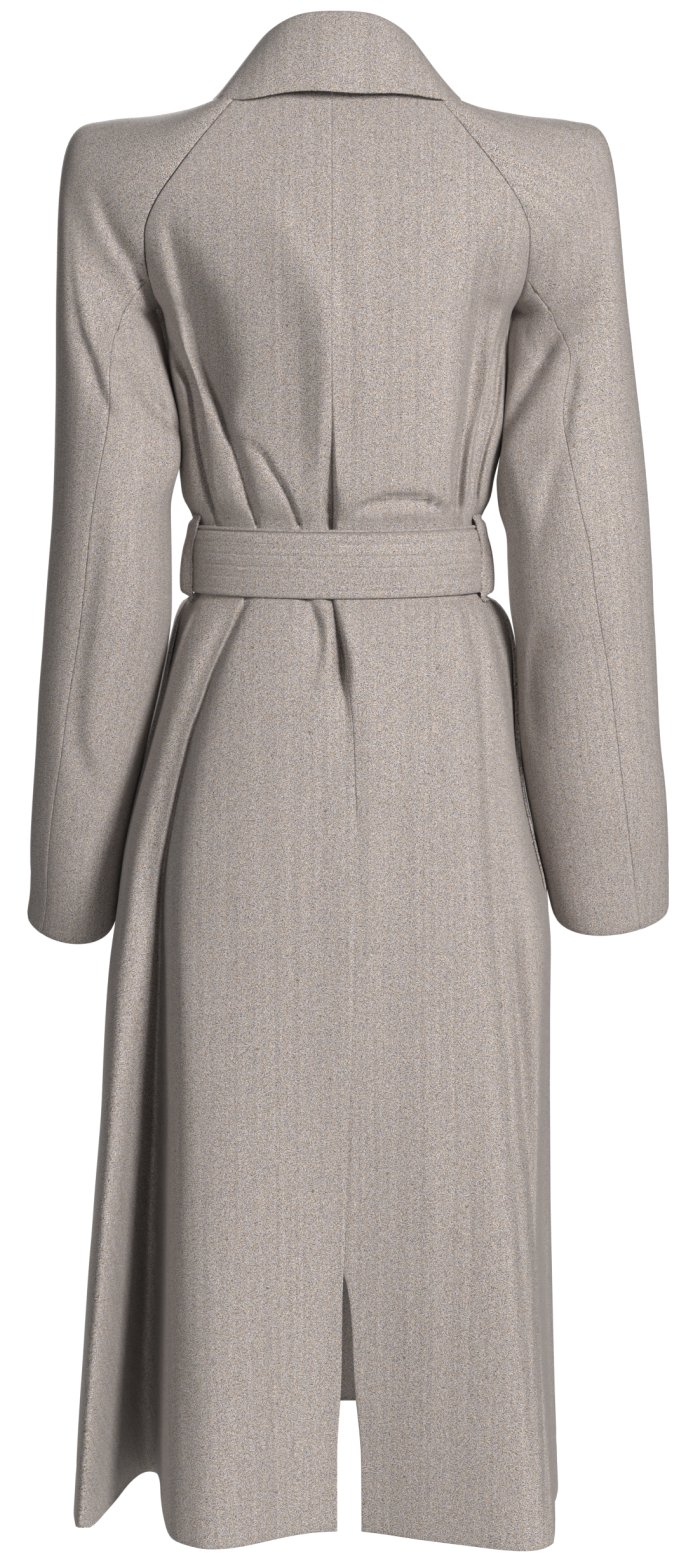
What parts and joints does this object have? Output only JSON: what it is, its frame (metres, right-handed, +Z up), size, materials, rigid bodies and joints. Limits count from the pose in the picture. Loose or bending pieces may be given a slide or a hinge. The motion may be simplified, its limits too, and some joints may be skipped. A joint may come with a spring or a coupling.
{
  "type": "coat",
  "caption": "Long belted wool coat in its worn form, with raglan sleeves, a large turned-down collar, a wide tied belt through tall loops and a centre-back vent.",
  "frame": {"origin": "base of the neck between the shoulders, where the wearer carries the coat", "axes": "+Z up, -Y towards the front of the coat, +X towards the wearer's left"},
  "size_m": [0.5581, 0.4544, 1.2472],
  "materials": {
    "back_left": "matt napped wool",
    "back_right": "matt napped wool",
    "belt": "matt napped wool",
    "belt_end_left": "matt napped wool",
    "belt_end_right": "matt napped wool",
    "belt_knot": "matt napped wool",
    "belt_loop_left": "matt napped wool",
    "belt_loop_right": "matt napped wool",
    "collar": "matt napped wool",
    "front_left": "matt napped wool",
    "front_right": "matt napped wool",
    "sleeve_left_under": "matt napped wool",
    "sleeve_left_upper": "matt napped wool",
    "sleeve_right_under": "matt napped wool",
    "sleeve_right_upper": "matt napped wool"
  },
  "bodies": {
    "root": {"back_left": "back_left", "back_right": "back_right", "belt": "belt", "belt_end_left": "belt_end_left", "belt_end_right": "belt_end_right", "belt_knot": "belt_knot", "belt_loop_left": "belt_loop_left", "belt_loop_right": "belt_loop_right", "collar": "collar", "front_left": "front_left", "front_right": "front_right", "sleeve_left_under": "sleeve_left_under", "sleeve_left_upper": "sleeve_left_upper", "sleeve_right_under": "sleeve_right_under", "sleeve_right_upper": "sleeve_right_upper"}
  },
  "joints": []
}
